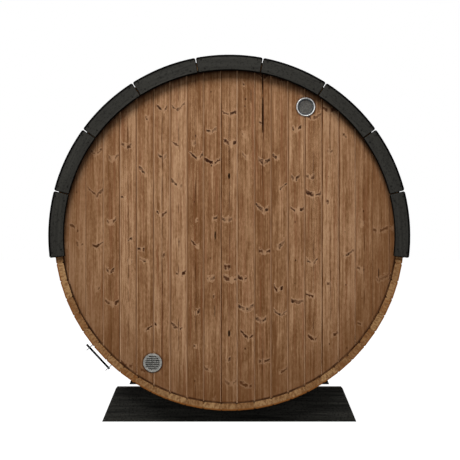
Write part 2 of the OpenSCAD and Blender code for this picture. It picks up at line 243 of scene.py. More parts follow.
def object_of(name, bm):
    """An object in the scene with a mesh, which it frees."""
    mesh = bpy.data.meshes.new(name)
    bm.to_mesh(mesh)
    bm.free()
    made = bpy.data.objects.new(name, mesh)
    bpy.context.scene.collection.objects.link(made)
    return made


def pull(bm, way):
    """Draws all the faces of a flat mesh out into a solid."""
    grown = bmesh.ops.extrude_face_region(bm, geom=bm.faces[:])["geom"]
    bmesh.ops.translate(bm, verts=[v for v in grown if isinstance(v, bmesh.types.BMVert)], vec=way)


def box_of(verts):
    """The lowest and the highest corner of the box round some vertices."""
    low = Vector([min(v.co[i] for v in verts) for i in range(3)])
    high = Vector([max(v.co[i] for v in verts) for i in range(3)])
    return low, high


def upright(verts, middle):
    """Axes of a wall board: across, through and along."""
    return X, Y, Z


def lengthwise(verts, middle):
    """Axes of a squared timber, whose grain runs along its longest side."""
    low, high = box_of(verts)
    order = sorted(range(3), key=lambda i: (high - low)[i])
    depth, across, along = [(X, Y, Z)[i] for i in order]
    return across, depth, along


def around(middle):
    """Directions along and away from the barrel's round, at a place on it."""
    angle = math.atan2(middle.x, middle.z - CENTRE_Z)
    return Vector((math.cos(angle), 0, -math.sin(angle))), Vector((math.sin(angle), 0, math.cos(angle)))


def as_stave(verts, middle):
    """Axes of a stave, which lies along the barrel, with the tree's top to the front or to the rear in turn."""
    tangent, radial = around(middle)
    turn = round(math.atan2(middle.x, middle.z - CENTRE_Z) / STAVE_TURN)
    return tangent, radial, Y if turn % 2 else -Y


def as_arch(verts, middle):
    """Axes of a trim segment, sawn from a plank laid along the round."""
    tangent, radial = around(middle)
    return radial, Y, tangent


def lay_grain(bm, axes, seed):
    """Writes each board's own coordinates and number, and gives its sawn ends the second finish.

    The coordinates are metres from the board's middle: across the grain, through the board, along the grain.
    """
    grain = bm.verts.layers.float_vector.new("grain")
    board = bm.verts.layers.float.new("board")
    bm.normal_update()
    for number, verts in enumerate(islands(bm)):
        low, high = box_of(verts)
        middle = (low + high) / 2
        across, depth, along = axes(verts, middle)
        value = random.Random(seed * 1000 + number).random()
        for vert in verts:
            place = vert.co - middle
            vert[grain] = (place.dot(across), place.dot(depth), place.dot(along))
            vert[board] = value
        for face in {face for vert in verts for face in vert.link_faces}:
            if abs(face.normal.dot(along)) > 0.8 and not face.material_index:
                face.material_index = SAWN


def put(name, bm, finishes, nodes=(), smooth=None):
    """Makes a finished piece from a mesh and lets it stand for CAD nodes."""
    piece = object_of(name, bm)
    mesh = piece.data
    for finish in finishes:
        mesh.materials.append(finish)
    if smooth is not None:
        mesh.polygons.foreach_set("use_smooth", [True] * len(mesh.polygons))
        mesh.set_sharp_from_angle(angle=math.radians(smooth))
    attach(piece, "root")
    if nodes:
        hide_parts(*nodes)


def timber_piece(name, node, axes, seed, width):
    """A piece of planed pine that stands for a CAD node, with eased edges and its grain laid."""
    bm = from_node(node)
    if width:
        ease(bm, width)
    lay_grain(bm, axes, seed)
    put(name, bm, [planed_pine(), sawn_pine()], [node])


def less(bm, cutter):
    """What is left of a mesh when another is cut from it."""
    objects = [object_of("kept", bm), object_of("cutter", cutter)]
    cut = objects[0].modifiers.new("cut", "BOOLEAN")
    cut.operation, cut.object, cut.solver = "DIFFERENCE", objects[1], "EXACT"
    done = bpy.data.meshes.new_from_object(objects[0].evaluated_get(bpy.context.evaluated_depsgraph_get()))
    result = bmesh.new()
    result.from_mesh(done)
    for thing in objects:
        mesh = thing.data
        bpy.data.objects.remove(thing)
        bpy.data.meshes.remove(mesh)
    bpy.data.meshes.remove(done)
    return result


def round_bar(bm, radius, start, end, sides=32):
    """A closed cylinder from one point to another."""
    way = end - start
    turn = way.to_track_quat("Z", "Y").to_matrix().to_4x4()
    bmesh.ops.create_cone(
        bm,
        cap_ends=True,
        segments=sides,
        radius1=radius,
        radius2=radius,
        depth=way.length,
        matrix=Matrix.Translation((start + end) / 2) @ turn,
    )


def turned(outline, middle, axis, side, steps, closed=True):
    """A body turned from an outline of radius and height pairs, laid out to one side of its axis.

    An outline that isn't closed is capped at both ends.
    """
    bm = bmesh.new()
    verts = [bm.verts.new(middle + side * r + axis * h) for r, h in outline]
    edges = [bm.edges.new(pair) for pair in zip(verts, verts[1:] + verts[:1] * closed)]
    bmesh.ops.spin(
        bm,
        geom=verts + edges,
        cent=middle,
        axis=axis,
        angle=2 * math.pi,
        steps=steps,
        use_merge=True,
        use_duplicate=False,
    )
    bmesh.ops.holes_fill(bm, edges=[e for e in bm.edges if e.is_boundary], sides=0)
    bmesh.ops.recalc_face_normals(bm, faces=bm.faces)
    return bm


# Finishes

# The setting that each kind of node is mostly chosen by
MAIN_SETTING = {
    "Attribute": "attribute_name",
    "MapRange": "interpolation_type",
    "Math": "operation",
    "Mix": "data_type",
    "TexNoise": "noise_dimensions",
    "TexVoronoi": "voronoi_dimensions",
    "TexWhiteNoise": "noise_dimensions",
    "VectorMath": "operation",
}
SQUARE_ON = (1.0, 0.0, 1.0)  # leaves what lies across and up, and drops the distance along the barrel
SECTION = (1.0, 1.0, 0.0)  # leaves what lies across a board and through it, and drops the distance along it


def add(tree, kind, *values, sockets=(), **named):
    """Adds a node. kind is its type and, after a space, its main setting.

    values feed its sockets in their order, such as value, from min, from max, to min and to max. named feeds those
    called by their names, with _ for a space, and sockets those called by number. Names in small letters are settings.
    """
    kind, _, choice = kind.partition(" ")
    made = tree.nodes.new("ShaderNode" + kind)
    if choice:
        setattr(made, MAIN_SETTING[kind], choice)
    feeds = {**dict(enumerate(values)), **dict(sockets)}
    for name, value in named.items():
        if name[0].isupper():
            feeds[name.replace("_", " ")] = value
        else:
            setattr(made, name, value)
    for socket, value in feeds.items():
        if isinstance(value, bpy.types.Node):
            value = next(output for output in value.outputs if output.enabled)
        if isinstance(value, bpy.types.NodeSocket):
            tree.links.new(value, made.inputs[socket])
        else:
            made.inputs[socket].default_value = value
    return made


def chain(tree, value, *steps):
    """Passes a value through nodes one after another. Each step holds a node's kind and what else it takes."""
    for kind, *more in steps:
        value = add(tree, kind, value, *more)
    return value


def bare_nodes(holder):
    """The node tree of a material or a world, with nothing in it."""
    holder.use_nodes = True
    holder.node_tree.nodes.clear()
    return holder.node_tree


def finish_named(name, draw, *values, **more):
    """A finish, whose nodes draw lays out the first time that it is asked for."""
    finish = bpy.data.materials.get(name)
    if not finish:
        finish = bpy.data.materials.new(name)
        draw(bare_nodes(finish), *values, **more)
    return finish


def surface(tree, base, height, strength, distance, **inputs):
    """The shader and output of a finish, with a relief that follows height."""
    bump = add(tree, "Bump", Strength=strength, Distance=distance, Height=height)
    shader = add(tree, "BsdfPrincipled", Base_Color=base, Normal=bump, **inputs)
    add(tree, "OutputMaterial", Surface=shader)


def seen_apart(tree, kind, lighting, looks):
    """The output of a tree that lights the scene with one shader and shows the camera another."""
    camera = add(tree, "LightPath").outputs["Is Camera Ray"]
    add(tree, kind, Surface=add(tree, "MixShader", camera, lighting, looks))


def opaque(rgb, share=1.0):
    """A linear colour for a socket, or a darker shade of it."""
    return (*(c * share for c in rgb), 1.0)


def laid_over(tree, base, *layers):
    """Lays colours over a base, each where its mask is 1."""
    for mask, tint in layers:
        base = add(tree, "Mix RGBA", sockets={0: mask, 6: base, 7: tint})
    return base


def board_of(tree, spread):
    """The place on a board, its chance value, and that value spread out to set the board's patterns apart."""
    grain = add(tree, "Attribute grain").outputs["Vector"]
    board = add(tree, "Attribute board").outputs["Fac"]
    return grain, board, add(tree, "Math MULTIPLY", board, spread)


def streaks(tree, grain, number, across, along, detail=2.0):
    """Noise drawn out along the grain, with features of the given size in metres, different on each board."""
    stretched = add(tree, "VectorMath MULTIPLY", grain, (1 / across, 0.5 / across, 1 / along))
    return add(tree, "TexNoise 4D", Vector=stretched, W=number, Scale=1.0, Detail=detail, Roughness=0.55)


def away_from(tree, place, middle, kept):
    """Distance of a place from a middle, along the directions that are kept."""
    return chain(tree, place, ("VectorMath SUBTRACT", middle), ("VectorMath MULTIPLY", kept), ("VectorMath LENGTH",))


def off_axis(tree):
    """Distance of a point from the barrel's axis, and its place on Object coordinates."""
    place = add(tree, "TexCoord").outputs["Object"]
    return away_from(tree, place, (0, 0, CENTRE_Z), SQUARE_ON), place


def near_vents(tree, place):
    """How close a point on the rear wall is to a vent's edge: 1 at the edge and 0 from 12 mm outside it."""
    found = None
    for node in VENTS:
        low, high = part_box(node)
        middle, radius = (low + high) / 2, (high.x - low.x) / 2
        away = away_from(tree, place, (middle.x, 0.0, middle.z), SQUARE_ON)
        close = add(tree, "MapRange", away, radius + 0.012, radius)
        found = add(tree, "Math MAXIMUM", found, close) if found else close
    depth = add(tree, "SeparateXYZ", place).outputs["Y"]
    return chain(tree, depth, ("Math LESS_THAN", WALL_HIGH.y), ("Math MULTIPLY", found))


def whorls(tree, grain, number, across, along):
    """Knots of the pine. A whorl is a ring of them round the pith, so a board shows a pair of arms that rise outwards.

    Gives how much of a point is knot, how much is its dark core, how far the wood swells pale round it, how far off
    the nearest arm is, and the roughness that makes the arms uneven.
    """
    spot = add(tree, "Math MULTIPLY_ADD", number, 3.7, along)
    step = bpy.context.scene.sauna_wood.whorl_step
    whorl = add(tree, "TexVoronoi 1D", W=spot, Scale=1 / step, Randomness=0.85)
    dice = add(tree, "SeparateColor", whorl.outputs["Color"]).outputs
    pith = add(tree, "MapRange", dice[0], 0, 1, -0.016, 0.016)
    aside = add(tree, "Math SUBTRACT", across, pith)
    out = add(tree, "Math ABSOLUTE", aside)
    key = chain(tree, aside, ("Math SIGN",), ("Math MULTIPLY_ADD", 5.3, whorl.outputs["W"]))
    arm_dice = add(tree, "SeparateColor", add(tree, "TexWhiteNoise 1D", W=key).outputs["Color"]).outputs
    reach = add(tree, "MapRange", arm_dice[0], 0, 1, -0.006, 0.062)
    patches = add(tree, "TexNoise 4D", Vector=grain, W=spot, Scale=45.0)
    lumps = add(tree, "MapRange", patches, 0.36, 0.64, 0.55, 1.3)
    thick = chain(tree, arm_dice[1], ("MapRange", 0, 1, 0.009, 0.018), ("Math MULTIPLY", lumps))
    rough = add(tree, "TexNoise 4D", Vector=grain, W=number, Scale=75.0, Detail=3.0)
    wobble = add(tree, "MapRange", rough, 0, 1, -0.017, 0.017)
    # An arm curves up a little as it goes outwards
    slope = add(tree, "MapRange", dice[2], 0, 1, 0.12, 0.75)
    line = chain(tree, out, ("Math MULTIPLY_ADD", 4.0, slope), ("Math MULTIPLY_ADD", out, wobble))
    rise = add(tree, "Math SUBTRACT", spot, whorl.outputs["W"])
    gap = chain(tree, rise, ("Math SUBTRACT", line), ("Math ABSOLUTE",))
    inner = add(tree, "Math MULTIPLY", thick, 0.3)
    reach_in = add(tree, "Math SUBTRACT", reach, 0.008)
    within = add(tree, "MapRange SMOOTHSTEP", out, reach, reach_in)
    start = add(tree, "MapRange", arm_dice[2], 0, 1, -0.004, 0.013)
    begun = add(tree, "MapRange SMOOTHSTEP", out, start, add(tree, "Math ADD", start, 0.004))
    arm = chain(tree, gap, ("MapRange SMOOTHSTEP", thick, inner), ("Math MULTIPLY", within), ("Math MULTIPLY", begun))
    depth = add(tree, "MapRange", dice[1], 0, 1, 0.5, 1.05)
    knots = add(tree, "Math MULTIPLY", arm, depth, use_clamp=True)
    patchy = add(tree, "MapRange", patches, 0.5, 0.58, 0, 0.9)
    cores = chain(tree, arm, ("Math POWER", 5.0), ("Math MULTIPLY", patchy))
    swell = "MapRange SMOOTHSTEP", add(tree, "Math ADD", thick, 0.007), thick, 0, 1.25
    halo = chain(tree, gap, swell, ("Math MULTIPLY", within), ("Math MULTIPLY", rough))

    # Pin knots: small round dots on some boards
    some = add(tree, "TexWhiteNoise 1D", W=number).outputs["Color"]
    some = chain(tree, some, ("SeparateColor",), ("Math LESS_THAN", 0.4))
    flat = add(tree, "CombineXYZ", X=across, Y=add(tree, "Math MULTIPLY", spot, 0.6))
    pins = add(tree, "TexVoronoi 2D", Vector=flat, Scale=1 / 0.075, Randomness=1.0)
    grown = "MapRange", 0.72, 1.0, 0.0, 0.085
    size = chain(tree, pins.outputs["Color"], ("SeparateColor",), grown, ("Math MULTIPLY", some))
    core_size = add(tree, "Math MULTIPLY", size, 0.6)
    pin = add(tree, "MapRange SMOOTHSTEP", pins.outputs["Distance"], size, core_size, 0, 0.9)
    knots = add(tree, "Math MAXIMUM", knots, pin)
    cores = add(tree, "Math MAXIMUM", cores, add(tree, "Math POWER", pin, 4.0))
    return knots, cores, halo, gap, rough


def pith_line(tree, grain, number, across, chance):
    """The pith, which shows as a dark broken line down the middle of some boards."""
    sway = chain(tree, streaks(tree, grain, number, 1.0, 0.25, 1.0), ("MapRange", 0, 1, -0.009, 0.009))
    broken = chain(tree, streaks(tree, grain, number, 2.0, 0.16), ("MapRange", 0.45, 0.6, 0, 0.75))
    line = ("Math SUBTRACT", sway), ("Math ABSOLUTE",), ("MapRange SMOOTHSTEP", 0.005, 0.0015)
    boxed = add(tree, "Math LESS_THAN", chance, 0.55)
    return chain(tree, across, *line, ("Math MULTIPLY", broken), ("Math MULTIPLY", boxed))


def painted_wall_shade_and_vent_rings(tree, cloud):
    """How far painted shade darkens the end walls towards their rims, in the corner under the staves and in a strip
    under the trim, and how far the walls are darker in a ring round each vent.
    """
    spoke, place = off_axis(tree)
    # How strongly, patch by patch, the painted shade in the corner and the darker rings round the vents show
    patchy_strength = add(tree, "MapRange", cloud, 0.35, 0.6, 0.5, 0.95)
    vents = add(tree, "Math MULTIPLY", near_vents(tree, place), patchy_strength)
    inside = add(tree, "Math LESS_THAN", spoke, STAVE_IN + 0.01)
    place = add(tree, "SeparateXYZ", place).outputs
    height = place["Z"]
    # Painted shade makes the wall darker towards its rim, less so high up under the roof
    less_high_up = add(tree, "MapRange SMOOTHSTEP", height, CENTRE_Z + 0.2, CENTRE_Z + 0.8, 1.0, 0.3)
    near = "MapRange SMOOTHSTEP", STAVE_IN - 0.34, STAVE_IN, 0, 0.52
    rim = chain(tree, spoke, near, ("Math MULTIPLY", inside), ("Math MULTIPLY", less_high_up))
    # Painted shadow darkens a broader strip under the arch trim, most at the top
    near = "MapRange SMOOTHSTEP", STAVE_IN - 0.04, STAVE_IN - 0.008, 0, 0.85
    above = add(tree, "Math GREATER_THAN", height, CENTRE_Z)
    high = add(tree, "MapRange", height, CENTRE_Z, CENTRE_Z + 0.65, 0.3)
    painted_trim_shadow = chain(tree, spoke, near, ("Math MULTIPLY", above), ("Math MULTIPLY", high))
    # Painted shade darkens the corner between an end wall and the staves, on both the wall and the staves' inner faces
    near = "MapRange SMOOTHSTEP", STAVE_IN - 0.009, STAVE_IN - 0.001, 0, patchy_strength
    ends = chain(tree, place["Y"], ("Math ABSOLUTE",), ("Math GREATER_THAN", -WALL_LOW.y - 0.004))
    joined = ("Math MAXIMUM", painted_trim_shadow), ("Math MULTIPLY", ends), ("Math MAXIMUM", vents)
    return rim, chain(tree, spoke, near, ("Math MULTIPLY", inside), *joined)


def draw_planed_pine(tree):
    wood = bpy.context.scene.sauna_wood
    grain, _, number = board_of(tree, 97.0)
    chances = add(tree, "SeparateColor", add(tree, "TexWhiteNoise 1D", W=number).outputs["Color"]).outputs
    part = add(tree, "SeparateXYZ", grain).outputs
    knots, cores, halo, gap, rough = whorls(tree, grain, number, part["X"], part["Z"])

    # Streaks, drawn aside where a whorl pushes the grain out
    push = chain(tree, gap, ("MapRange SMOOTHSTEP", 0.04, 0.0, 0, 0.006), ("Math MULTIPLY", rough))
    drawn = add(tree, "VectorMath ADD", grain, add(tree, "CombineXYZ", X=push))
    fine = streaks(tree, drawn, number, wood.fine_streak, 0.22, 3.0)
    cloud = streaks(tree, drawn, number, 0.05, 0.2)
    tone = -1.94
    for pattern, strength in (
        (streaks(tree, drawn, number, wood.wide_streak, 0.8), 1.1),
        (fine, 1.45),
        (cloud, 0.9),
        (streaks(tree, drawn, number, 0.009, 0.022, 3.0), 0.85),
        (chances[1], 0.55),
    ):
        tone = add(tree, "Math MULTIPLY_ADD", pattern, strength, tone)
    ramp = add(tree, "ValToRGB", tone)
    stops = ramp.color_ramp.elements
    stops.new(0.5)
    for stop, place, tint in zip(stops, (0.12, 0.5, 0.88), (wood.dark, wood.mid, wood.light)):
        stop.position, stop.color = place, opaque(tint)
    ruddy = streaks(tree, drawn, add(tree, "Math ADD", number, 31.0), 0.011, 0.5)
    ruddy = add(tree, "MapRange", ruddy, 0.52, 0.68, 0, 0.5)
    # rim and corner are painted shade: walls darker towards their rims, blacker in the corner under the staves and
    # under the trim; corner also darkens rings round the vents
    rim, corner = painted_wall_shade_and_vent_rings(tree, cloud)
    base = laid_over(
        tree,
        ramp.outputs[0],
        (ruddy, opaque(wood.red)),
        (halo, opaque(wood.light)),
        (pith_line(tree, grain, number, part["X"], chances[2]), opaque(wood.knot)),
        (knots, opaque(wood.knot)),
        (cores, opaque(wood.core)),
        (rim, opaque(wood.dark)),
        (corner, opaque(wood.core)),
    )
    sheen = add(tree, "MapRange", fine, 0, 1, 0.5, 0.72)
    surface(tree, base, fine, 0.35, 0.0006, Roughness=sheen, Specular_IOR_Level=0.1)


def draw_pine_edge(tree, tint):
    """A V edge of a board, uneven along its length: a painted highlight on the lit side, painted shade on the other."""
    grain, board, number = board_of(tree, 97.0)
    # worn masks where the edge's painted light shows: the highlight on a lit edge, the shade on a shaded one
    worn = chain(tree, streaks(tree, grain, number, 0.02, 0.12, 3.0), ("MapRange", 0.35, 0.6, 0.3, 1.0))
    strength = add(tree, "MapRange", board, 0, 1, 0.5, 1.2)
    worn = add(tree, "Math MULTIPLY", worn, strength, use_clamp=True)
    base = laid_over(tree, opaque(bpy.context.scene.sauna_wood.mid), (worn, opaque(tint)))
    surface(tree, base, worn, 0.3, 0.0005, Roughness=0.6, Specular_IOR_Level=0.1)


def draw_crack_painted_shade(tree):
    wood = bpy.context.scene.sauna_wood
    place = add(tree, "TexCoord").outputs["Object"]
    grit = add(tree, "TexNoise", Vector=place, Scale=300.0, Detail=2.0)
    grit = add(tree, "MapRange", grit, 0.4, 0.7, 0, 0.4)
    # The inside of a crack is painted nearly black: painted shade
    base = laid_over(tree, opaque(wood.core), (grit, opaque(wood.knot)))
    surface(tree, base, grit, 0.5, 0.0005, Roughness=0.8, Specular_IOR_Level=0.1)


def draw_sawn_pine(tree):
    wood = bpy.context.scene.sauna_wood
    grain, _, number = board_of(tree, 61.0)
    chance = add(tree, "TexWhiteNoise 1D", W=number).outputs
    # Yearly rings, one every 2.8 mm, round a pith that lies 50 to 90 mm below the middle of the end
    spread = {9: (-0.03, -0.09, 0.0), 10: (0.03, -0.05, 0.0)}
    pith = add(tree, "MapRange", sockets=spread, Vector=chance["Color"], data_type="FLOAT_VECTOR")
    away = chain(tree, grain, ("VectorMath MULTIPLY", SECTION), ("VectorMath DISTANCE", pith))
    rough = add(tree, "TexNoise", Vector=grain, Scale=60.0, Detail=2.0)
    away = add(tree, "Math MULTIPLY_ADD", rough, 0.003, away)
    wave = ("Math MULTIPLY", 2 * math.pi / 0.0028), ("Math SINE",)
    ring = chain(tree, away, *wave, ("MapRange", -0.2, 1.0, 0, 0.28))
    blotch = streaks(tree, grain, number, 0.014, 0.014, 3.0)
    ruddy = chain(tree, blotch, ("Math MULTIPLY_ADD", 2.2, chance["Value"]), ("MapRange", 1.45, 2.3))
    # Some staves are darker than their neighbours all over
    shade = add(tree, "SeparateColor", chance["Color"]).outputs[2]
    shade = add(tree, "MapRange", shade, 0.3, 1.0, 0, 0.55)
    flecks = chain(tree, streaks(tree, grain, number, 0.01, 0.01, 3.0), ("MapRange", 0.46, 0.6, 0, 0.75))
    # The saw has burnt the outermost millimetres of the stave ends ruddy
    spoke = off_axis(tree)[0]
    burnt = add(tree, "MapRange SMOOTHSTEP", spoke, STAVE_OUT - 0.012, STAVE_OUT - 0.005, 0, 0.95)
    # Painted shade darkens the corners of the stave ends, where two joints meet the round
    far = away_from(tree, add(tree, "VectorMath ABSOLUTE", grain), STAVE_CORNER, SECTION)
    staves = add(tree, "Math GREATER_THAN", spoke, STAVE_IN - 0.001)
    shares = ("Math MULTIPLY", staves), ("Math MULTIPLY", chance["Value"])
    painted_notch_shade = chain(tree, far, ("MapRange SMOOTHSTEP", 0.011, 0.004, 0, 0.9), *shares)
    base = laid_over(
        tree,
        opaque(wood.end_light),
        (ruddy, opaque(wood.end_dark)),
        (ring, opaque(wood.mid)),
        (shade, opaque(wood.dark)),
        (flecks, opaque(wood.dark)),
        (burnt, opaque(wood.end_dark)),
        (painted_notch_shade, opaque(wood.core)),
    )
    surface(tree, base, rough, 0.4, 0.0005, Roughness=0.82, Specular_IOR_Level=0.15)


def painted_trim_edge_shade(tree, trim):
    """How much painted shade darkens a point on a trim segment: along its round edges and its outer corners."""
    spoke, place = off_axis(tree)
    outer = add(tree, "MapRange", spoke, TRIM_OUT - trim.rim - 0.001, TRIM_OUT - trim.rim + 0.001)
    inner = add(tree, "MapRange", spoke, TRIM_IN + 0.0045, TRIM_IN + 0.0025)
    place = add(tree, "SeparateXYZ", place).outputs
    height = add(tree, "Math SUBTRACT", place["Z"], CENTRE_Z)
    turn = chain(tree, place["X"], ("Math ARCTAN2", height), ("Math PINGPONG", trim.turn / 2))
    # The band along the ends is 2 mm wide, and 5 mm at the outer corners
    half = trim.slot / 2
    near = add(tree, "MapRange", spoke, TRIM_OUT - 0.04, TRIM_OUT - 0.02, half + 0.002, half + 0.005)
    left = add(tree, "Math SUBTRACT", trim.turn / 2, turn)
    end = chain(tree, left, ("Math MULTIPLY", spoke), ("Math LESS_THAN", near))
    return chain(tree, outer, ("Math MAXIMUM", inner), ("Math MAXIMUM", end))


def draw_stained_pine(tree, black, worn, gleam=0.04, thin=1.2, trim=None):
    """Pine planks under black stain: nearly black, matt, with faint pale streaks and darker knots.

    The lower thin is, the more of the face has thin stain. trim, where it is given, darkens the segments' rims with
    painted shade.
    """
    grain, _, number = board_of(tree, 43.0)
    fine = streaks(tree, grain, number, 0.003, 0.12, 3.0)
    wide = streaks(tree, grain, number, 0.016, 0.5)
    tone = chain(tree, fine, ("Math MULTIPLY_ADD", 0.8, wide), ("MapRange", 0.65, thin))
    apart = add(tree, "CombineXYZ", Y=number)
    moved = chain(tree, grain, ("VectorMath MULTIPLY", (1.0, 0.0, 0.6)), ("VectorMath ADD", apart))
    knot = add(tree, "TexVoronoi", Vector=moved, Scale=1 / 0.11, Randomness=1.0)
    knot = add(tree, "MapRange SMOOTHSTEP", knot, 0.12, 0.05, 0, 0.9)
    speck = chain(tree, streaks(tree, grain, number, 0.008, 0.011), ("MapRange", 0.52, 0.62, 0, 0.6))
    layers = [(tone, opaque(worn)), (knot, opaque(black, 0.45)), (speck, opaque(black, 0.5))]
    if trim:
        # Painted shade blackens the trim's rims, the ends of its segments and its inner edge
        layers.append((painted_trim_edge_shade(tree, trim), opaque(bpy.context.scene.sauna_stain.edge)))
    base = laid_over(tree, opaque(black), *layers)
    surface(tree, base, fine, 0.5, 0.0006, Roughness=0.7, Specular_IOR_Level=gleam)


def draw_bitumen_felt(tree):
    place = add(tree, "TexCoord").outputs["Object"]
    tab = add(tree, "Attribute board").outputs["Fac"]
    # Slate grains about 1.5 mm across, drawn at 2.5 mm so that they show
    grains = add(tree, "TexVoronoi", Vector=place, Scale=1 / 0.0025)
    dice = add(tree, "SeparateColor", grains.outputs["Color"])
    pale = add(tree, "MapRange", dice, 0.3, 1.0)
    patch = add(tree, "TexNoise", Vector=place, Scale=4.0, Detail=3.0)
    patch = add(tree, "MapRange", patch, 0.35, 0.65, 0, 0.35)
    tone = add(tree, "MapRange", tab, 0, 1, 0.0, 0.7)
    masks = zip((pale, patch, tone), ("3d3d3c", "2b2a28", "141414"))
    base = laid_over(tree, opaque(linear("171717")), *((mask, opaque(linear(code))) for mask, code in masks))
    surface(tree, base, dice, 0.7, 0.0008, Roughness=0.93, Specular_IOR_Level=0.3)


def draw_brushed_metal(tree, code, rough, along_y=False, metallic=1.0, gleam=0.5):
    """Metal with a fine brushed or rolled grain, which spreads its highlights along one way."""
    tint = linear(code)
    place = add(tree, "TexCoord").outputs["Object"]
    # Brush lines about 0.3 mm apart, drawn at 1 mm so that they show
    scale = (900.0, 20.0, 900.0) if along_y else (25.0, 1000.0, 25.0)
    lines = add(tree, "VectorMath MULTIPLY", place, scale)
    lines = add(tree, "TexNoise", Vector=lines, Scale=1.0, Detail=2.0)
    smear = add(tree, "MapRange", lines, 0, 1, rough - 0.1, rough + 0.15)
    shade = add(tree, "MapRange", lines, 0.3, 0.7)
    # Patches about a centimetre across that weather has dulled
    dull = add(tree, "TexNoise", Vector=place, Scale=130.0, Detail=2.0)
    dull = add(tree, "MapRange", dull, 0.44, 0.58, 0, 0.9)
    base = laid_over(tree, opaque(tint, 0.8), (shade, opaque(tint)), (dull, opaque(tint, 0.5)))
    surface(tree, base, lines, 0.15, 0.0002, Metallic=metallic, Roughness=smear, Specular_IOR_Level=gleam)


def draw_bronze_glass(tree):
    place = add(tree, "TexCoord").outputs["Object"]
    ripple = add(tree, "TexNoise", Vector=place, Scale=3.0)
    base = opaque(linear("a08a74"))
    surface(tree, base, ripple, 0.02, 0.002, Roughness=0.03, IOR=1.5, Transmission_Weight=1.0)


def planed_pine():
    """Heat-treated pine, planed and oiled: warm brown, with upright streaks, V-shaped whorls of knots and low sheen."""
    return finish_named("heat_treated_pine_planed", draw_planed_pine)


def sawn_pine():
    """Sawn ends of heat-treated pine: paler than the faces, matt, with the arcs of the yearly rings."""
    return finish_named("heat_treated_pine_end_grain", draw_sawn_pine)


def lit_edge():
    """V edge that the light reaches, with a painted highlight: pale."""
    return finish_named("heat_treated_pine_painted_highlight_edge", draw_pine_edge, bpy.context.scene.sauna_wood.lit_edge)


def shaded_edge():
    """V edge that stays in the shade, with painted shade: dark brown."""
    return finish_named("heat_treated_pine_painted_shade_edge", draw_pine_edge, bpy.context.scene.sauna_wood.shaded_edge)


def crack_painted_shade():
    """Painted shade inside a drying crack, which also stands for resin and grime: nearly black, with dull brown grains.
    """
    return finish_named("painted_shade_in_drying_crack", draw_crack_painted_shade)


def trim_stain():
    """Thin black stain on the trim's planks: charcoal, with streaks of the wood and rims made blacker by painted shade.
    """
    stain = bpy.context.scene.sauna_stain
    trim = bpy.context.scene.sauna_trim
    return finish_named("black_stained_pine", draw_stained_pine, stain.black, stain.worn, trim=trim)


def trim_edge_painted_shade():
    """Painted shade along the rounded edges of the trim: fully black."""
    edge = bpy.context.scene.sauna_stain.edge
    return finish_named("black_stained_pine_painted_edge_shade", draw_stained_pine, edge, edge, 0.0)


def cradle_stain():
    """Heavier black stain on the cradles and the door's handles: black, worn grey in streaks."""
    stain = bpy.context.scene.sauna_stain
    return finish_named("black_stained_cradle_pine", draw_stained_pine, stain.cradle, stain.cradle_worn, thin=1.15)


def bitumen_felt():
    """Bitumen shingle faced with crushed slate: black, matt and grainy, with scattered pale grains."""
    return finish_named("slate_faced_bitumen", draw_bitumen_felt)


def rolled_steel():
    """Stainless strip, rolled: grey with soft long highlights."""
    return finish_named("rolled_stainless_steel", draw_brushed_metal, "8f9294", 0.36, metallic=0.75)


def black_zinc():
    """Black zinc on threaded rod and nuts: dark with a dull gleam."""
    return finish_named("black_zinc_plate", draw_brushed_metal, "070707", 0.6, True, 0.0, 0.0)


def vent_aluminium():
    """Aluminium rim, satin anodised: almost white with a thin gleam."""
    return finish_named("satin_anodised_aluminium", draw_brushed_metal, "f2f2f0", 0.45, metallic=0.3)


def grey_aluminium():
    """Cast aluminium under grey powder coat: even mid grey."""
    return finish_named("grey_powder_coated_aluminium", draw_brushed_metal, "a5a49e", 0.55, metallic=0.0)


def vent_wire():
    """Galvanised fly mesh gone dull: mid grey."""
    return finish_named("dull_galvanised_wire", draw_brushed_metal, "8b8882", 0.6, metallic=0.3)


def clamp_ring():
    """Dull zinc ring that clamps the fly mesh: dark grey, a little darker than the wire."""
    return finish_named("dull_zinc_ring", draw_brushed_metal, "3e4245", 0.6, metallic=0.3)


def bronze_glass():
    """Toughened glass, tinted bronze through its mass: see-through brown."""
    return finish_named("bronze_tinted_glass", draw_bronze_glass)


# Pieces


class SAUNA_OT_staves(bpy.types.Operator):
    """Lays the staves of the barrel, with sawn ends and grain along each stave"""

    bl_idname = "sauna.staves"
    bl_label = "Staves"

    def execute(self, context):
        for n in range(1, 13):
            timber_piece(f"stave_set_{n:02d}", f"staves_{n:02d}", as_stave, n, 0)
        return {"FINISHED"}


def wall_board(low_x, high_x, low_z, high_z, walls, face_y):
    """One upright board of an end wall: a slice of the wall's disc with V edges at its joints."""
    bm = bmesh.new()
    bmesh.ops.create_circle(bm, cap_ends=True, radius=WALL_R, segments=360)
    bmesh.ops.rotate(bm, verts=bm.verts, cent=(0, 0, 0), matrix=Matrix.Rotation(math.pi / 2, 3, "X"))
    bmesh.ops.translate(bm, verts=bm.verts, vec=(0, face_y, CENTRE_Z))
    for place, way in (
        ((low_x + walls.joint / 2, 0, 0), -X),
        ((high_x - walls.joint / 2, 0, 0), X),
        ((0, 0, low_z), -Z),
        ((0, 0, high_z), Z),
    ):
        bmesh.ops.bisect_plane(
            bm, geom=bm.verts[:] + bm.edges[:] + bm.faces[:], plane_co=place, plane_no=way, clear_outer=True
        )
    pull(bm, (0, WALL_T, 0))
    bmesh.ops.recalc_face_normals(bm, faces=bm.faces)
    sides = [
        e
        for e in bm.edges
        if e.is_manifold
        and e.calc_face_angle(0) > 1.2
        and abs((e.verts[0].co - e.verts[1].co).normalized().z) > 0.99
        and min(abs(e.verts[0].co.x - low_x), abs(e.verts[0].co.x - high_x)) < walls.joint
    ]
    bevel(bm, sides, (walls.vee - walls.joint) / 2)
    return bm


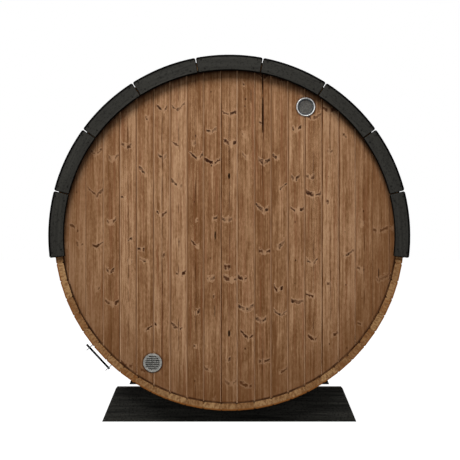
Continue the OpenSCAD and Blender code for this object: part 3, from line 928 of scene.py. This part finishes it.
def wall_boards(name, node, face_y, numbers, seed, low_z=PAST_LOW, high_z=PAST_HIGH, cuts=()):
    """Boards of an end wall, numbered from its middle, as one piece that stands for a CAD node.

    cuts holds, for each hole or crack, its middle across the wall, half its width and what draws it in a mesh.
    """
    walls = bpy.context.scene.sauna_walls
    bm = bmesh.new()
    for n in numbers:
        low_x, high_x = (n - 0.5) * walls.board, (n + 0.5) * walls.board
        board = wall_board(low_x, high_x, low_z, high_z, walls, face_y)
        for x, half, draw in cuts:
            if low_x - half < x < high_x + half:
                cutter = bmesh.new()
                draw(cutter)
                bmesh.ops.recalc_face_normals(cutter, faces=cutter.faces)
                board = less(board, cutter)
                if not half:
                    darken_crack(board, x, face_y)
        finish_edges(board, walls)
        join(bm, board)
    lay_grain(bm, upright, seed)
    put(name, bm, [planed_pine(), sawn_pine(), crack_painted_shade(), lit_edge(), shaded_edge()], [node])


def darken_crack(board, x, face_y):
    """Gives the inside of a crack its dark finish of painted shade: the faces near x that lie below the face of the
    board.
    """
    for face in board.faces:
        middle = face.calc_center_median()
        near = max(abs(vert.co.x - x) for vert in face.verts) < 0.01
        if near and face_y + 0.0005 < middle.y < face_y + WALL_T - 0.0005:
            face.material_index = CRACK


def finish_edges(board, walls):
    """Gives each V its painted highlight on one edge and painted shade on the other, as if the light came from over a
    place 3.7 boards left of the middle.
    """
    board.normal_update()
    lamp_x = -3.7 * walls.board
    for face in board.faces:
        if 0.3 < abs(face.normal.x) < 0.95 and abs(face.normal.z) < 0.1 and not face.material_index:
            lit = face.normal.x * (face.calc_center_median().x - lamp_x) > 0
            face.material_index = LIT if lit else SHADED


def drying_crack(bm, x, z, long, wide, y):
    """A long narrow lens, to cut a drying crack in the face of a board. It starts 10 mm before the face."""
    bmesh.ops.create_circle(bm, cap_ends=True, radius=1, segments=20)
    pull(bm, Z)
    size = Matrix.Diagonal((wide / 2, long / 2, CRACK_DEEP + 0.01, 1))
    bm.transform(Matrix.Translation((x, y + CRACK_DEEP, z)) @ Matrix.Rotation(math.pi / 2, 4, "X") @ size)


class SAUNA_OT_walls(bpy.types.Operator):
    """Sets the tongued boards of both end walls, round the vents and the doorway"""

    bl_idname = "sauna.walls"
    bl_label = "End walls"

    def execute(self, context):
        walls = context.scene.sauna_walls
        last = math.ceil(WALL_R / walls.board - 0.5)
        cuts = []
        radius = walls.hole / 2
        for node in VENTS:
            low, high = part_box(node)
            middle = (low + high) / 2
            start = Vector((middle.x, WALL_LOW.y - 0.01, middle.z))
            end = Vector((middle.x, WALL_HIGH.y + 0.01, middle.z))
            cuts.append((middle.x, radius, partial(round_bar, radius=radius, start=start, end=end, sides=64)))
        # x, z, length and width of the drying cracks and resin pockets that show
        for x, z, long, wide in (
            (0.193, 1.79, 0.215, 0.011),
            (0.192, 1.985, 0.16, 0.0075),
            (0.125, 1.898, 0.08, 0.0035),
            (-0.001, 1.437, 0.034, 0.012),
            (-0.081, 1.095, 0.05, 0.0085),
            (-0.001, 0.53, 0.038, 0.012),
            (0.861, 0.878, 0.06, 0.005),
            (-0.083, 0.66, 0.07, 0.0035),
        ):
            cuts.append((x, 0, partial(drying_crack, x=x, z=z, long=long, wide=wide, y=WALL_LOW.y)))
        wall_boards("rear_wall_boards", "rear_wall", WALL_LOW.y, range(-last, last + 1), 5, cuts=cuts)
        face_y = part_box("front_wall_left")[0].y
        door = round(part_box("front_wall_over_door")[1].x / walls.board - 0.5)
        head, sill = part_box("front_wall_over_door")[0].z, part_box("front_wall_under_door")[1].z
        wall_boards("front_wall_left_boards", "front_wall_left", face_y, range(-last, -door), 6)
        wall_boards("front_wall_right_boards", "front_wall_right", face_y, range(door + 1, last + 1), 7)
        middle = range(-door, door + 1)
        wall_boards("front_wall_head_boards", "front_wall_over_door", face_y, middle, 8, low_z=head)
        wall_boards("front_wall_sill_boards", "front_wall_under_door", face_y, middle, 9, high_z=sill)
        return {"FINISHED"}


def screw_head(bm, matrix, radius):
    """A countersunk head with a six-sided recess, drawn face up and then placed."""
    made = bmesh.ops.create_cone(
        bm, cap_ends=True, segments=18, radius1=radius * 0.7, radius2=radius, depth=radius * 0.5
    )["verts"]
    top = max((f for v in made for f in v.link_faces), key=lambda f: f.calc_center_median().z)
    bmesh.ops.inset_individual(bm, faces=[top], thickness=radius * 0.5)
    sunk = bmesh.ops.extrude_discrete_faces(bm, faces=[top])["faces"][0]
    bmesh.ops.translate(bm, verts=sunk.verts, vec=(0, 0, -radius * 0.3))
    whole, grown = set(made) | set(sunk.verts), True
    while grown:
        more = {e.other_vert(v) for v in whole for e in v.link_edges} - whole
        grown = bool(more)
        whole |= more
    bmesh.ops.transform(bm, matrix=matrix, verts=list(whole))


class SAUNA_OT_trim(bpy.types.Operator):
    """Fixes the black arch trim over both ends, with its screws"""

    bl_idname = "sauna.trim"
    bl_label = "Arch trim"

    def execute(self, context):
        trim = context.scene.sauna_trim
        for node, seed, way in (("rear_trim", 21, -1), ("front_trim", 22, 1)):
            low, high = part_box(node)
            face = low.y if way < 0 else high.y
            planks = from_node(node)
            # Planed back a little, so that the screw heads stand just proud of the face
            for vert in planks.verts:
                if abs(vert.co.y - face) < NEAR:
                    vert.co.y -= way * SCREW_PROUD
            roundings = ease(planks, trim.ease, 3)
            planks.normal_update()
            # Roundings that face away from the axis get the black finish, which paints their shade
            for rounding in roundings:
                if rounding.normal.dot(around(rounding.calc_center_median())[1]) > 0.2:
                    rounding.material_index = BLACK_EDGE
            lay_grain(planks, as_arch, seed)
            put(node + "_planks", planks, [trim_stain(), trim_stain(), trim_edge_painted_shade()], [node])
            outer = high.z - CENTRE_Z
            screws = bmesh.new()
            head_up = Matrix.Rotation(math.pi / 2 * -way, 4, "X")
            # A head is a quarter as high as it is wide, and its top lies in the CAD's face
            y = face - way * trim.screw / 8
            for i in range(trim.segments):
                middle = (i - (trim.segments - 1) / 2) * trim.turn
                for side in (-1, 1):
                    # Distances of a segment's screws from its outer edge and from its end
                    for inward, back in ((0.018, 0.030), (0.070, 0.042)):
                        radius = outer - inward
                        turn = middle + side * (trim.turn / 2 - back / radius)
                        place = Vector((radius * math.sin(turn), y, CENTRE_Z + radius * math.cos(turn)))
                        screw_head(screws, Matrix.Translation(place) @ head_up, trim.screw / 2)
            bmesh.ops.recalc_face_normals(screws, faces=screws.faces)
            put(node + "_screws", screws, [black_zinc()])
        return {"FINISHED"}


def shingle(high_angle, low_angle, high_r, low_r, start, end, thick, steps=6):
    """One tab from its upper to its lower edge, in angles from the top, its lower edge lifted by what lies under it."""
    bm = bmesh.new()
    bmesh.ops.create_grid(bm, x_segments=steps, y_segments=1, size=0.5)
    for vert in bm.verts:
        share = vert.co.x + 0.5
        vert.co.x = high_angle + share * (low_angle - high_angle)
        vert.co.y = start if vert.co.y < 0 else end
        vert.co.z = high_r + share * (low_r - high_r)
    pull(bm, (0, 0, thick))
    # So far X is an angle and Z a distance from the barrel's axis
    for vert in bm.verts:
        turn, radius = vert.co.x, vert.co.z
        vert.co.x, vert.co.z = radius * math.sin(turn), CENTRE_Z + radius * math.cos(turn)
    bmesh.ops.recalc_face_normals(bm, faces=bm.faces)
    return bm


class SAUNA_OT_roof(bpy.types.Operator):
    """Nails the shingle courses and the ridge over the barrel"""

    bl_idname = "sauna.roof"
    bl_label = "Roof"

    def execute(self, context):
        roof = context.scene.sauna_roof
        # The courses are 4.4 mm thick where they overlap
        base_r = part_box("roof_right")[1].z - CENTRE_Z - 0.0044
        sheet, ragged_by, shortest = 0.0012, 0.0015, 0.03  # thickness of the sheet, ragged edges and shortest tab
        step = roof.exposure / base_r
        courses = math.ceil(roof.low / step)
        for side, node, seed in ((1, "roof_right", 31), (-1, "roof_left", 32)):
            dice = random.Random(seed)
            bm = bmesh.new()
            for course in range(courses):
                low_angle = roof.low - course * step
                # A tab runs up to just short of two courses, and never over the ridge
                high_angle = max(low_angle - 1.9 * step, 0.002)
                y = -END_Y + (0 if course % 2 else -roof.tab / 2)
                while y < END_Y:
                    start, end = max(y + roof.slot / 2, -END_Y), min(y + roof.tab - roof.slot / 2, END_Y)
                    ragged = dice.uniform(-ragged_by, ragged_by) if course else 0
                    if end - start > shortest:
                        low_r = base_r + (roof.thick if course else 0)
                        turns = side * high_angle, side * (low_angle + ragged)
                        join(bm, shingle(*turns, base_r, low_r, start, end, roof.thick))
                    y += roof.tab
            # What the courses are nailed to
            join(bm, shingle(0, side * roof.low, base_r - NEAR, base_r - NEAR, -END_Y, END_Y, sheet, 48))
            lay_grain(bm, as_stave, seed)
            put(node + "_shingles", bm, [bitumen_felt()] * 2, [node])
        low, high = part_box("roof_ridge")
        half = (high.x - low.x) / 2 / base_r
        # The caps lie on the courses. Each covers its run and a third of the next, and is a little thinner than a tab
        caps, cap_r, covers, cap_thick = 11, base_r + 0.0032, 1.35, roof.thick * 0.9
        bm = bmesh.new()
        run = 2 * END_Y / caps
        # Each cap lies on the end of the one before, which lifts the first two fifths of its run
        lifted, rise = run * 0.4, 0.0026
        for n in range(caps):
            start = -END_Y + n * run
            end = min(start + run * covers, END_Y)
            cap = shingle(-half, half, cap_r, cap_r, start, end, cap_thick, 16)
            for vert in cap.verts:
                vert.co += around(vert.co)[1] * rise * max(0.0, (start + lifted - vert.co.y) / lifted)
            join(bm, cap)
        lay_grain(bm, as_stave, 33)
        put("roof_ridge_caps", bm, [bitumen_felt()] * 2, ["roof_ridge"])
        return {"FINISHED"}


class SAUNA_OT_hoops(bpy.types.Operator):
    """Draws the steel hoops tight, with lugs, threaded rods and nuts"""

    bl_idname = "sauna.hoops"
    bl_label = "Hoops and tensioners"

    def execute(self, context):
        for node in ("rear_hoop", "front_hoop"):
            put(node + "_band", from_node(node), [rolled_steel()], [node], 20)
        for node in ("rear_tensioner", "front_tensioner"):
            bm = from_node(node)
            parts = sorted(islands(bm), key=lambda verts: -max((a.co - verts[0].co).length for a in verts))
            rod, nut_corners = parts[0], 16  # a nut has fewer corners than that, a lug has more
            low, high = sorted((sum((v.co for v in g), Vector()) / len(g) for g in split_ends(rod)), key=lambda p: p.z)
            lower_nut = min((p for p in parts[1:] if len(p) < nut_corners), key=lambda verts: verts[0].co.z)
            for face in {f for v in lower_nut for f in v.link_faces}:
                face.material_index = 1
            bmesh.ops.delete(bm, geom=rod, context="VERTS")
            ease(bm, 0.0006, 1)
            pitch, crest, root = 0.0015, 0.0064, 0.0064 * 0.87
            steps = 2 * int((high - low).length / pitch)
            outline = [(crest if i % 2 else root, i * pitch / 2) for i in range(1, steps)]
            axis = (high - low).normalized()
            thread = turned(outline, low, axis, axis.cross(Y).normalized(), 16, closed=False)
            put(node + "_rod", thread, [black_zinc()])
            put(node + "_lugs", bm, [rolled_steel(), black_zinc()], [node])
        return {"FINISHED"}


def split_ends(rod):
    """The vertices at either end of a rod, as two lists."""
    first = rod[0]
    far = max(rod, key=lambda v: (v.co - first.co).length)
    near = max(rod, key=lambda v: (v.co - far.co).length)
    wider = 0.012  # more than the rod's diameter, and far less than its length
    return [[v for v in rod if (v.co - tip.co).length < wider] for tip in (near, far)]


class SAUNA_OT_cradles(bpy.types.Operator):
    """Stands the barrel on its two cradles"""

    bl_idname = "sauna.cradles"
    bl_label = "Cradles"

    def execute(self, context):
        for node, seed in (("rear_cradle", 41), ("front_cradle", 42)):
            bm = from_node(node)
            top_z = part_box(node)[1].z
            top = [v for v in bm.verts if v.co.z > top_z - NEAR]
            far = max(abs(v.co.x) for v in top)
            tips = {v for v in top if abs(v.co.x) > far - NEAR}
            bevel(bm, [e for e in bm.edges if tips.issuperset(e.verts)], 0.004, 3)
            ease(bm, 0.002)
            lay_grain(bm, lengthwise, seed)
            put(node + "_plank", bm, [cradle_stain()] * 2, [node])
        return {"FINISHED"}


class SAUNA_OT_vents(bpy.types.Operator):
    """Fits the meshed upper vent and the louvred lower vent"""

    bl_idname = "sauna.vents"
    bl_label = "Vents"

    def execute(self, context):
        low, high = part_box("upper_vent_rim")
        radius = (high.x - low.x) / 2
        middle = Vector(((low.x + high.x) / 2, WALL_LOW.y, (low.z + high.z) / 2))
        hole = context.scene.sauna_walls.hole / 2
        # Section of the rim: a rounded bead that falls to the sleeve
        outline = [
            (radius - 0.0002, 0.0),
            (radius, 0.0022),
            (radius - 0.001, 0.0042),
            (radius - 0.003, 0.005),
            (radius - 0.005, 0.0046),
            (radius - 0.0066, 0.003),
            (radius - 0.007, 0.0),
        ]
        bm = turned(outline, middle, -Y, X, 72)
        sleeve = [(hole - 0.0004, 0.0), (hole - 0.0004, -0.03), (hole - 0.002, -0.03), (hole - 0.002, 0.0)]
        join(bm, turned(sleeve, middle, -Y, X, 48))
        put("upper_vent_ring", bm, [vent_aluminium()], ["upper_vent_rim"], 30)

        bm = bmesh.new()
        face = middle + Y * 0.0035
        reach, pitch, wire = hole - 0.003, 0.0028, 0.0012
        steps = int(reach / pitch)
        for n in range(-steps, steps + 1):
            half = math.sqrt(reach**2 - (n * pitch) ** 2)
            for way, aside, depth in ((X, Z, 0.0), (Z, X, 0.0006)):
                start = face + aside * n * pitch + Y * depth
                round_bar(bm, wire / 2, start - way * half, start + way * half, 6)
        # Section of the ring that clamps the mesh, from inside the rim's bead into the sleeve
        outline = [
            (radius - 0.0072, 0.0036),
            (radius - 0.0072, 0.0056),
            (reach - 0.002, 0.0046),
            (reach - 0.0024, -0.002),
            (reach + 0.0008, -0.002),
            (reach + 0.0008, 0.0036),
        ]
        ring = turned(outline, face, -Y, X, 48)
        for part in ring.faces:
            part.material_index = 1
        join(bm, ring)
        put("upper_vent_fly_mesh", bm, [vent_wire(), clamp_ring()], ["upper_vent_mesh"])

        bm = from_node("lower_vent")
        ease(bm, 0.0005, 1, 50)
        put("lower_vent_louvres", bm, [grey_aluminium()], ["lower_vent"], 30)
        return {"FINISHED"}


class SAUNA_OT_door(bpy.types.Operator):
    """Hangs the glazed door in its frame, with hinges and handles"""

    bl_idname = "sauna.door"
    bl_label = "Door"

    def execute(self, context):
        timber_piece("door_frame_timbers", "door_frame", lengthwise, 51, 0.002)
        timber_piece("door_leaf_timbers", "door_leaf", lengthwise, 52, 0.003)
        put("door_pane", from_node("door_glass"), [bronze_glass()], ["door_glass"])
        hinges = from_node("door_hinges")
        ease(hinges, 0.0008, 1, 50)
        put("door_hinge_set", hinges, [rolled_steel()], ["door_hinges"], 30)
        handles = from_node("door_handles")
        ease(handles, 0.003, 3, 60)
        lay_grain(handles, lengthwise, 53)
        put("door_handle_pair", handles, [cradle_stain()] * 2, ["door_handles"], 40)
        return {"FINISHED"}


class SAUNA_OT_floor(bpy.types.Operator):
    """Lays the slatted floor on its bearers"""

    bl_idname = "sauna.floor"
    bl_label = "Slatted floor"

    def execute(self, context):
        timber_piece("floor_slat_set", "floor_slats", lengthwise, 61, 0.004)
        timber_piece("floor_bearer_set", "floor_bearers", lengthwise, 62, 0.002)
        return {"FINISHED"}


class SAUNA_OT_stage(bpy.types.Operator):
    """Sets the white floor, the studio light and the camera"""

    bl_idname = "sauna.stage"
    bl_label = "Studio"

    def execute(self, context):
        scene, stage = context.scene, context.scene.sauna_stage
        bm = bmesh.new()
        bmesh.ops.create_circle(bm, cap_ends=True, radius=60, segments=64)
        floor = object_of("studio_floor", bm)
        floor_white = bpy.data.materials.new("white_studio_floor")
        tree = bare_nodes(floor_white)
        matt = add(tree, "BsdfDiffuse", Color=opaque(linear("5c5c5c")))
        bright = add(tree, "Emission", Color=opaque(stage.white), Strength=1.0)
        seen_apart(tree, "OutputMaterial", matt, add(tree, "AddShader", matt, bright))
        floor.data.materials.append(floor_white)

        world = bpy.data.worlds.new("studio")
        tree = bare_nodes(world)
        # Light from above is stronger than from the sides and below
        up = add(tree, "SeparateXYZ", add(tree, "TexCoord").outputs["Generated"])
        glow = add(tree, "MapRange", up.outputs["Z"], -0.3, 0.7, 0.05, 0.4)
        glow = add(tree, "Math MULTIPLY", glow, stage.sky)
        lit = add(tree, "Background", Color=opaque(stage.white), Strength=glow)
        plain = add(tree, "Background", Color=opaque(stage.white), Strength=1.0)
        seen_apart(tree, "OutputWorld", lit, plain)
        scene.world = world

        aim = Vector((0, 0, CENTRE_Z))
        for name, place, size, power in (
            ("key_soft_box", (-0.9, -5.3, 5.6), 3.2, 372),
            ("low_soft_box", (0.0, -7.5, 1.2), 3.0, 62),
            ("front_soft_box", (-2.6, 6.2, 4.9), 3.0, 400),
            ("side_soft_box", (6.6, 0.6, 3.0), 3.2, 300),
            ("far_side_soft_box", (-6.6, 0.2, 3.0), 3.2, 260),
        ):
            light = bpy.data.lights.new(name, "AREA")
            light.shape, light.size, light.energy = "DISK", size, power * stage.key
            lamp = bpy.data.objects.new(name, light)
            lamp.location = place
            lamp.rotation_euler = (aim - Vector(place)).to_track_quat("-Z", "Y").to_euler()
            lamp.visible_camera = False
            scene.collection.objects.link(lamp)

        camera = bpy.data.cameras.new("camera")
        camera.lens, camera.sensor_width = stage.lens, 36
        camera.shift_x, camera.shift_y = 0.0016, 0.0373
        eye = bpy.data.objects.new("camera", camera)
        eye.location = (0, -stage.camera_y, stage.camera_z)
        eye.rotation_euler = (math.pi / 2, 0, 0)
        scene.collection.objects.link(eye)
        scene.camera = eye
        scene.view_settings.view_transform = "Standard"
        return {"FINISHED"}


class SAUNA_PT_sidebar(bpy.types.Panel):
    """Sizes and colours of the barrel sauna, and its pieces"""

    bl_idname = "SAUNA_PT_sidebar"
    bl_label = "Barrel sauna"
    bl_space_type = "VIEW_3D"
    bl_region_type = "UI"
    bl_category = "Sauna"

    def draw(self, context):
        for name in SETTINGS:
            box = self.layout.box()
            group = getattr(context.scene, name)
            for prop in group.bl_rna.properties:
                if prop.identifier not in {"rna_type", "name"}:
                    box.prop(group, prop.identifier)
        for operator in OPERATORS:
            self.layout.operator(operator.bl_idname)


SETTINGS = {
    "sauna_wood": SaunaWood,
    "sauna_stain": SaunaStain,
    "sauna_walls": SaunaWalls,
    "sauna_trim": SaunaTrim,
    "sauna_roof": SaunaRoof,
    "sauna_stage": SaunaStage,
}
OPERATORS = (
    SAUNA_OT_staves,
    SAUNA_OT_walls,
    SAUNA_OT_trim,
    SAUNA_OT_roof,
    SAUNA_OT_hoops,
    SAUNA_OT_cradles,
    SAUNA_OT_vents,
    SAUNA_OT_door,
    SAUNA_OT_floor,
    SAUNA_OT_stage,
)


def register():
    for cls in (*SETTINGS.values(), *OPERATORS, SAUNA_PT_sidebar):
        bpy.utils.register_class(cls)
    for name, group in SETTINGS.items():
        setattr(bpy.types.Scene, name, PointerProperty(type=group))


def unregister():
    for name in SETTINGS:
        delattr(bpy.types.Scene, name)
    for cls in (SAUNA_PT_sidebar, *reversed(OPERATORS), *reversed(SETTINGS.values())):
        bpy.utils.unregister_class(cls)


def main():
    register()
    for piece in ("staves", "walls", "trim", "roof", "hoops", "cradles", "vents", "door", "floor", "stage"):
        getattr(bpy.ops.sauna, piece)()


if __name__ == "__main__":
    main()
